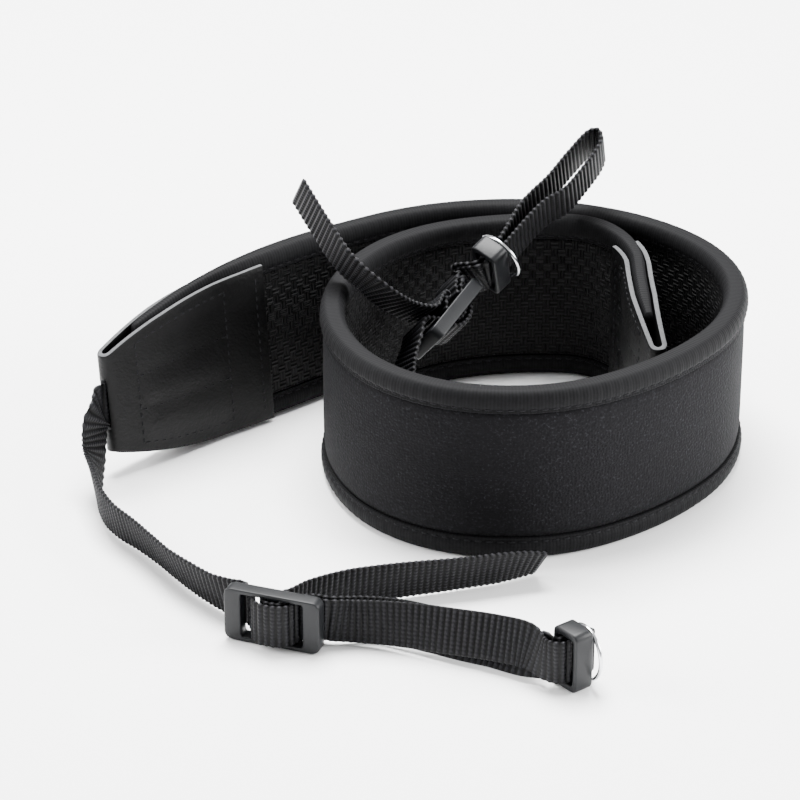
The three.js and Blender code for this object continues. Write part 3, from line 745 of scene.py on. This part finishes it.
LUG_LOOP_INNER = [
    (3.2, 44.6, 56.1, 30, -102), (9.1, 47.9, 58.5, 30, -102), (15.0, 54.2, 62.8, 30, -102),
    (19.3, 60.0, 66.6, 30, -102), (20.3, 63.0, 68.4, 30, -102), (19.4, 65.4, 69.6, 30, -102),
    (17.2, 65.4, 69.4, 30, -102), (10.9, 59.4, 65.3, 30, -102), (4.9, 52.5, 60.7, 30, -102),
    (-2.5, 45.5, 56.0, 30, -102),
]
FREE_END_INNER = [
    (-31.3, 12.6, 39.6, 46, -52), (-38.3, 8.3, 43.8, 49, -60), (-46.2, 5.2, 51.4, 49, -60),
    (-53.6, 8.0, 57.5, 49, -60), (-60.2, 15.5, 64.5, 49, -60), (-66.8, 24.0, 72.2, 49, -60),
]
# Inside a fitting: distance along it, and back through it.
FIRST_PASS = [
    (-10.0, 5.0), (-7.4, 2.7), (-5.7, -0.2), (-4.3, -2.8), (-2.2, -4.1), (0, -4.35), (2.3, -4.1), (4.4, -3.1),
    (6.0, -0.6), (7.4, 2.4), (9.4, 3.5), (13.4, 3.7),
]
SECOND_PASS = [
    (13.4, 5.6), (9.4, 5.3), (6.2, 3.7), (4.4, 0.4), (2.8, -2.0), (0.8, -2.5), (-1.4, -2.35), (-3.0, -0.9),
    (-2.8, 1.1), (-1.0, 2.8), (1.8, 5.2),
]
KEEPER_TURN_OUTER = [
    (-6.6, 3.7), (-5.0, -0.4), (-2.0, -1.2), (0, -1.1), (3.6, -1.1), (5.3, -0.9), (6.1, 0), (5.3, 0.9),
    (3.6, 1.1), (0, 1.0), (-2.4, 1.0), (-4.0, 2.6), (-4.1, 4.6),
]
KEEPER_OUT = [(-4.2, -0.9), (0, -1.1), (4.4, -1.1)]
KEEPER_BACK = [(4.4, 1.0), (0, 1.0), (-4.2, 0.9)]


def laid(rows):
    """Route through rows of a table."""
    route = []
    for x, y, z, tilt, toward in rows:
        t, h = radians(tilt), radians(toward)
        route.append((Vector((x, y, z)) + SHIFT, Vector((sin(t) * cos(h), sin(t) * sin(h), cos(t)))))
    return route


def through(fitting, rows):
    """Route through a fitting, square to it."""
    axes, centre = FITTINGS[fitting], CENTRES[fitting]
    return [(centre + axes["along"] * s + axes["back"] * t, axes["up"]) for s, t in rows]


def in_tab(runs):
    """Route between the two layers of a tab, leaning as the band does there."""
    route = []
    for run in runs:
        at = coil(run, 0, FOLD_MIDDLE)
        route.append((at, coil(run, 0, FOLD_MIDDLE + 1) - at))
    return route


IN_TAB = (10, 5, 0, -2.4)     # from the fold, inward
ROUTES = {
    "outer": (
        in_tab(IN_TAB)
        + laid(OUT_OF_TAB_OUTER)
        + through("slider_outer", FIRST_PASS)
        + laid(SLIDER_TO_KEEPER_OUTER)
        + through("keeper_outer", KEEPER_TURN_OUTER)
        + laid(KEEPER_TO_SLIDER_OUTER)
        + through("slider_outer", SECOND_PASS)
        + laid(FREE_END_OUTER)
    ),
    "inner": (
        in_tab([BAND_LENGTH - r for r in IN_TAB])
        + laid(OUT_OF_TAB_INNER)
        + through("slider_inner", FIRST_PASS)
        + through("keeper_inner", KEEPER_OUT)
        + laid(LUG_LOOP_INNER)
        + through("keeper_inner", KEEPER_BACK)
        + through("slider_inner", SECOND_PASS)
        + laid(FREE_END_INNER)
    ),
}


SELVEDGE = 0.5         # rounding of the webbing's long edges
TANGENT_STEP = 0.002   # in rows of the route


def curve_point(places, u):
    """Point at u, counted in rows, of a centripetal Catmull-Rom curve through the places."""
    i = min(int(u), len(places) - 2)
    f = u - i
    x1, x2 = places[i], places[i + 1]
    x0 = places[i - 1] if i > 0 else x1 * 2 - x2
    x3 = places[i + 2] if i + 2 < len(places) else x2 * 2 - x1
    d0, d1, d2 = ((b - a).length ** 0.5 for a, b in ((x0, x1), (x1, x2), (x2, x3)))
    t1 = ((x1 - x0) / d0 - (x2 - x0) / (d0 + d1) + (x2 - x1) / d1) * d1
    t2 = ((x2 - x1) / d1 - (x3 - x1) / (d1 + d2) + (x3 - x2) / d2) * d1
    return x1 + t1 * f + (x2 * 3 - x1 * 3 - t1 * 2 - t2) * f ** 2 + (x1 * 2 - x2 * 2 + t1 + t2) * f ** 3


def webbing_shell(route, pitch, rib, depth):
    """A flat woven strap led along its route, with ribs across it, and its length."""
    places = [at for at, _ in route]
    section = rounded(WEB_WIDTH, WEB_THICK, SELVEDGE, 4)
    rings, flat, length, last = [], [], 0.0, None
    for i in range(len(route) - 1):
        count = max(1, ceil((places[i + 1] - places[i]).length / pitch))
        for k in range(0 if i == 0 else 1, count + 1):
            f = k / count
            at = curve_point(places, i + f)
            ahead = curve_point(places, min(i + f + TANGENT_STEP, len(places) - 1))
            behind = curve_point(places, max(i + f - TANGENT_STEP, 0))
            along = (ahead - behind).normalized()
            edge = route[i][1].lerp(route[i + 1][1], f)
            edge = (edge - along * edge.dot(along)).normalized()
            face = edge.cross(along)
            length += (at - last).length if last else 0
            last = at
            dip = depth * (1 - cos(2 * pi * length / rib)) / 2
            rings.append([at + edge * x + face * (y - dip * (1 if y > 0 else -1)) for x, y in section])
            flat += [(length, x, y) for x, y in section]
    return loft(rings), flat, length


def rounded(width, height, radius, per_corner=7):
    """Outline of a rectangle with round corners, counter-clockwise from its lower right."""
    x, y = width / 2 - radius, height / 2 - radius
    points = []
    for corner, (sx, sy) in enumerate(((1, -1), (1, 1), (-1, 1), (-1, -1))):
        for k in range(per_corner):
            a = pi / 2 * (corner - 1 + k / (per_corner - 1))
            points.append((sx * x + radius * cos(a), sy * y + radius * sin(a)))
    return points


def frame_shell(outer, inner, thick):
    """A ring-shaped plate between two outlines of equally many points."""
    count = len(outer)
    points = [Vector((x, y, z)) for z in (-thick / 2, thick / 2) for x, y in outer + inner]
    faces = []
    for k in range(count):
        n = (k + 1) % count
        o0, o1, i0, i1 = k, n, count + k, count + n
        up = 2 * count
        faces += [(o0, i0, i1, o1), (o0 + up, o1 + up, i1 + up, i0 + up)]
        faces += [(o0, o1, o1 + up, o0 + up), (i0, i0 + up, i1 + up, i1)]
    return points, faces


def stood(shell, centre, x, y, z):
    """Stands a fitting's shell in its place, on its own three axes."""
    points, faces = shell
    turn = Matrix((x, y, z)).transposed()
    return [centre + turn @ p for p in points], faces


def slider_shell(name):
    s, axes = SLIDER, FITTINGS[name]
    rim = frame_shell(
        rounded(s["long"], s["high"], 2.0),
        rounded(s["long"] - 2 * s["end"], s["high"] - 2 * s["rail"], 0.8), s["thick"])
    ends = (s["high"] - s["rail"]) / 2
    bar = loft([[Vector((x, y, z)) for x, z in rounded(s["bar"], s["bar_thick"], 0.9)]
                for y in (-ends, -ends / 3, ends / 3, ends)])
    return stood(joined([rim, bar]), CENTRES[name], axes["along"], axes["up"], -axes["back"])


def keeper_shell(name):
    k, axes = KEEPER, FITTINGS[name]
    sleeve = frame_shell(
        rounded(k["thick"], k["high"], 1.8),
        rounded(k["thick"] - 2 * k["wall"], k["high"] - 2 * k["cap"], 0.8), k["long"])
    return stood(sleeve, CENTRES[name], -axes["back"], axes["up"], -axes["along"])


def ring_shell(end, turn):
    """A wire ring, turned about its upright diameter by some degrees."""
    axes = FITTINGS["keeper_" + end]
    back = Matrix.Rotation(radians(turn), 3, axes["up"]) @ axes["back"]
    centre = middle("ring_" + end)
    way_through = back.cross(axes["up"])
    count, around = RING["sides"], RING["wire_sides"]
    points, faces = [], []
    for i in range(count):
        a, j = 2 * pi * i / count, (i + 1) % count
        out = back * cos(a) + axes["up"] * sin(a)
        for k in range(around):
            b, n = 2 * pi * k / around, (k + 1) % around
            points.append(
                centre + out * (RING["radius"] + RING["wire"] * cos(b)) + way_through * RING["wire"] * sin(b))
            faces.append((i * around + k, i * around + n, j * around + n, j * around + k))
    return points, faces


# ---------------------------------------------------------------------------------------------
# Settings


def measure(name, about, value):
    return bpy.props.FloatProperty(
        name=name, description=about, default=value * MM, min=0, precision=5, subtype="DISTANCE",
        unit="LENGTH")


def colour(name, about, code):
    return bpy.props.FloatVectorProperty(
        name=name, description=about, default=linear(code), size=4, min=0, max=1, subtype="COLOR")


class StrapSizes(bpy.types.PropertyGroup):
    stitch: measure("Stitch pitch", "From one stitch of the bindings to the next", 3.0)
    tab_stitch: measure("Tab stitch pitch", "From one stitch of the tabs to the next", 2.6)
    thread: measure("Thread", "Thickness of the sewing thread", 0.5)
    rib: measure("Webbing rib", "From one cross rib of the webbing to the next", 1.7)
    rib_depth: measure("Rib depth", "How deep the webbing dips between its ribs", 0.34)
    pucker: measure("Binding pucker", "How far the binding swells between its stitches", 0.07)
    edge_round: measure("Edge round", "Rounding of the moulded fittings' edges", 0.45)


class StrapColours(bpy.types.PropertyGroup):
    jersey: colour("Jersey", "Outer face of the pad", "#0a0a0c")
    jersey_speck: colour("Jersey specks", "Lighter filament ends in the jersey", "#2c2c30")
    grip: colour("Grip ridges", "Ridges of the embossed lining", "#101011")
    # Painted shade: the lining's darker colour in the grooves between its ridges.
    grip_groove_painted_shade: colour("Grip grooves", "Between the ridges of the lining", "#030303")
    tape: colour("Binding", "Ribs of the elastic binding", "#0c0c0e")
    # Painted shade: the binding's darker colour in the grooves between its ribs.
    tape_groove_painted_shade: colour("Binding grooves", "Between the ribs of the binding", "#060607")
    leather: colour("Leatherette", "Face of the tabs", "#020202")
    leather_worn: colour("Leatherette wear", "Where the tabs are rubbed", "#060607")
    edge: colour("Cut edge", "Pale backing at the tabs' cut edges", "#58595b")
    edge_dark: colour("Cut edge shade", "Darker fibres in the cut edge", "#2c2d2e")
    web: colour("Webbing", "Ribs of the webbing", "#1b1b1e")
    # Painted shade: the webbing's near-black colour in the grooves between its ribs and yarns.
    web_groove_painted_shade: colour("Webbing grooves", "Between the yarns of the webbing", "#010101")
    thread: colour("Thread", "Sewing thread", "#1e1e21")
    thread_dark: colour("Thread shade", "Between the plies of the thread", "#0a0a0b")
    plastic: colour("Fittings", "Moulded sliders and keepers", "#0d0e10")
    plastic_rubbed: colour("Fittings, rubbed", "Where the fittings are rubbed", "#141517")
    chrome: colour("Chrome", "Plated rings", "#e2e3e6")
    board: colour("Table", "Surface under the strap", "#ffffff")


# The stage. Lengths with _M are metres, and places are counted from the middle of the strap unless said.
TABLE_HALF_M = 6
TABLE_GAP_M = 0.0002
ROOM_LIGHT = 0.8
SOFTBOXES = (   # name, place in metres, size in metres, power in watts
    ("softbox above", (-0.05, 0.35, 0.95), 0.6, 62),
    ("softbox left", (-1.0, 0.0, 0.45), 0.5, 16),
    ("softbox right", (1.0, -0.1, 0.4), 0.5, 26),
)
LENS, SENSOR = 157.5, 36
CLIP_M = (0.05, 20)
CAMERA_M = (-0.00457, -0.84590, 0.46400)   # from the model's origin
CAMERA_DOWN = 27                           # degrees below the horizontal


def settings():
    return bpy.context.scene.strap_sizes, bpy.context.scene.strap_colours


# ---------------------------------------------------------------------------------------------
# Operators


class STRAP_OT_pad(bpy.types.Operator):
    """Build the foam pad with its jersey face"""
    bl_idname = "strap.pad"
    bl_label = "Pad"

    def execute(self, context):
        _, colours = settings()
        shell, flat = band_shell(pad_section(), BAND_START, BAND_LENGTH - BAND_START, PAD_PITCH)
        jersey = neoprene_jersey(colours)
        made = piece("pad_foam_jersey", ["neoprene_core"], shell, [jersey], flat)
        return {"FINISHED"}


class STRAP_OT_grip(bpy.types.Operator):
    """Build the embossed grip lining on the inner face"""
    bl_idname = "strap.grip"
    bl_label = "Grip lining"

    def execute(self, context):
        _, colours = settings()
        shell, flat = band_shell(lining_section(), LINING_START, BAND_LENGTH - LINING_START, PAD_PITCH)
        piece("grip_lining_embossed", ["grip_lining"], shell, [grip_rubber(colours)], flat)
        return {"FINISHED"}


class STRAP_OT_bindings(bpy.types.Operator):
    """Build the elastic bindings over both long edges"""
    bl_idname = "strap.bindings"
    bl_label = "Bindings"

    def execute(self, context):
        sizes, colours = settings()
        tape = elastic_tape(colours)
        for node, upper in (("binding_lower", False), ("binding_upper", True)):
            shell, flat = band_shell(
                binding_section(upper), BAND_START, BAND_LENGTH - BAND_START, TAPE_PITCH, sizes.pucker / MM)
            piece(node + "_tape", [node], shell, [tape], flat)
        return {"FINISHED"}


class STRAP_OT_tabs(bpy.types.Operator):
    """Build the folded leatherette tabs with their slots"""
    bl_idname = "strap.tabs"
    bl_label = "Tabs"

    def execute(self, context):
        _, colours = settings()
        face, edge = leatherette(colours), cut_edge(colours)
        for end in ("outer", "inner"):
            shell, flat, cut = tab_shell(end)
            made = piece(f"tab_{end}_folded", ["tab_" + end], shell, [face, edge], flat, cut)
            bevelled(made, 0.2, 2, 50)
        return {"FINISHED"}


class STRAP_OT_stitching(bpy.types.Operator):
    """Sew the bindings and the tabs"""
    bl_idname = "strap.stitching"
    bl_label = "Stitching"

    def execute(self, context):
        sizes, colours = settings()
        thread = sewing_thread(colours)
        thick = sizes.thread / MM
        pairs = []
        start, end = TAB_REACH["outer"] - END_COLUMN, BAND_LENGTH - TAB_REACH["inner"] - 0.5
        for z in (SEAM - SEWN_IN, BAND_WIDTH - SEAM + SEWN_IN):
            for sign in (1, -1):
                line = band_line(z, sign, start, end, ROLL_RADIUS - SEWN_DEPTH)
                pairs += spaced(line, sizes.stitch / MM)
        piece("binding_stitches", [], stitch_shell(pairs, thick), [thread])
        for side in ("outer", "inner"):
            reach = TAB_REACH[side]
            rows = [[(r, share) for r in STITCH_COLUMNS] for share in STITCH_ROWS]
            columns = [[(r, share) for share in COLUMN_SHARES] for r in (*STITCH_COLUMNS, reach - END_COLUMN)]
            pairs = []
            for ends in rows + columns:
                for sign in (1, -1):
                    pairs += spaced(tab_line(side, sign, *ends), sizes.tab_stitch / MM)
            piece(f"tab_{side}_stitches", [], stitch_shell(pairs, thick), [thread])
        return {"FINISHED"}


class STRAP_OT_webbing(bpy.types.Operator):
    """Lead both webbings through their fittings"""
    bl_idname = "strap.webbing"
    bl_label = "Webbing"

    def execute(self, context):
        sizes, colours = settings()
        woven = woven_webbing(colours)
        for end, route in ROUTES.items():
            shell, flat, run = webbing_shell(route, WEB_PITCH, sizes.rib / MM, sizes.rib_depth / MM)
            made = piece(f"webbing_{end}_strap", ["webbing_" + end], shell, [woven], flat)
        return {"FINISHED"}


class STRAP_OT_fittings(bpy.types.Operator):
    """Build the moulded sliders and keepers"""
    bl_idname = "strap.fittings"
    bl_label = "Sliders and keepers"

    def execute(self, context):
        sizes, colours = settings()
        acetal = moulded_acetal(colours)
        for name in FITTINGS:
            kind = name.split("_")[0]
            shell = slider_shell(name) if kind == "slider" else keeper_shell(name)
            made = piece(name + "_moulded", [name], shell, [acetal])
            bevelled(made, sizes.edge_round / MM, 3)
        return {"FINISHED"}


class STRAP_OT_rings(bpy.types.Operator):
    """Build the chromed wire rings"""
    bl_idname = "strap.rings"
    bl_label = "Rings"

    def execute(self, context):
        _, colours = settings()
        chrome = chromed_steel(colours)
        for end, turn in (("outer", -8), ("inner", 0)):
            piece(f"ring_{end}_wire", ["ring_" + end], ring_shell(end, turn), [chrome])
        return {"FINISHED"}


class STRAP_OT_stage(bpy.types.Operator):
    """Set the table, the lights and the camera"""
    bl_idname = "strap.stage"
    bl_label = "Stage"

    def execute(self, context):
        _, colours = settings()
        scene = context.scene
        low, high = CAD_BOX
        work = bmesh.new()
        bmesh.ops.create_grid(work, x_segments=1, y_segments=1, size=TABLE_HALF_M)
        mesh = bpy.data.meshes.new("table")
        work.to_mesh(mesh)
        work.free()
        mesh.materials.append(matt_board(colours))
        table_top = bpy.data.objects.new("table", mesh)
        table_top.location.z = low.z - TABLE_GAP_M
        scene.collection.objects.link(table_top)

        world = bpy.data.worlds.new("studio")
        world.use_nodes = True
        sky = world.node_tree.nodes["Background"]
        sky.inputs["Color"].default_value = (1, 1, 1, 1)
        sky.inputs["Strength"].default_value = ROOM_LIGHT
        scene.world = world
        centre = (low + high) / 2
        for name, place, size, power in SOFTBOXES:
            light = bpy.data.lights.new(name, "AREA")
            light.energy, light.size = power, size
            lamp = bpy.data.objects.new(name, light)
            lamp.location = centre + Vector(place)
            lamp.rotation_euler = (centre - lamp.location).to_track_quat("-Z", "Y").to_euler()
            scene.collection.objects.link(lamp)

        view = bpy.data.cameras.new("camera")
        view.lens, view.sensor_width = LENS, SENSOR
        view.clip_start, view.clip_end = CLIP_M
        camera = bpy.data.objects.new("camera", view)
        camera.location = CAMERA_M
        camera.rotation_euler = (radians(90 - CAMERA_DOWN), 0, 0)
        scene.collection.objects.link(camera)
        scene.camera = camera
        return {"FINISHED"}


class STRAP_PT_panel(bpy.types.Panel):
    bl_idname = "STRAP_PT_panel"
    bl_label = "Camera Neck Strap"
    bl_space_type = "VIEW_3D"
    bl_region_type = "UI"
    bl_category = "Strap"

    def draw(self, context):
        for group in settings():
            for name in group.__annotations__:
                self.layout.prop(group, name)
        for operator in OPERATORS:
            self.layout.operator(operator.bl_idname)


OPERATORS = (
    STRAP_OT_stage, STRAP_OT_pad, STRAP_OT_grip, STRAP_OT_bindings, STRAP_OT_tabs, STRAP_OT_stitching,
    STRAP_OT_webbing, STRAP_OT_fittings, STRAP_OT_rings,
)
CLASSES = (StrapSizes, StrapColours, *OPERATORS, STRAP_PT_panel)


def register():
    for kind in CLASSES:
        bpy.utils.register_class(kind)
    bpy.types.Scene.strap_sizes = bpy.props.PointerProperty(type=StrapSizes)
    bpy.types.Scene.strap_colours = bpy.props.PointerProperty(type=StrapColours)


def unregister():
    del bpy.types.Scene.strap_colours
    del bpy.types.Scene.strap_sizes
    for kind in reversed(CLASSES):
        bpy.utils.unregister_class(kind)


def main():
    register()
    for operator in OPERATORS:
        group, name = operator.bl_idname.split(".")
        getattr(getattr(bpy.ops, group), name)()


if __name__ == "__main__":
    main()
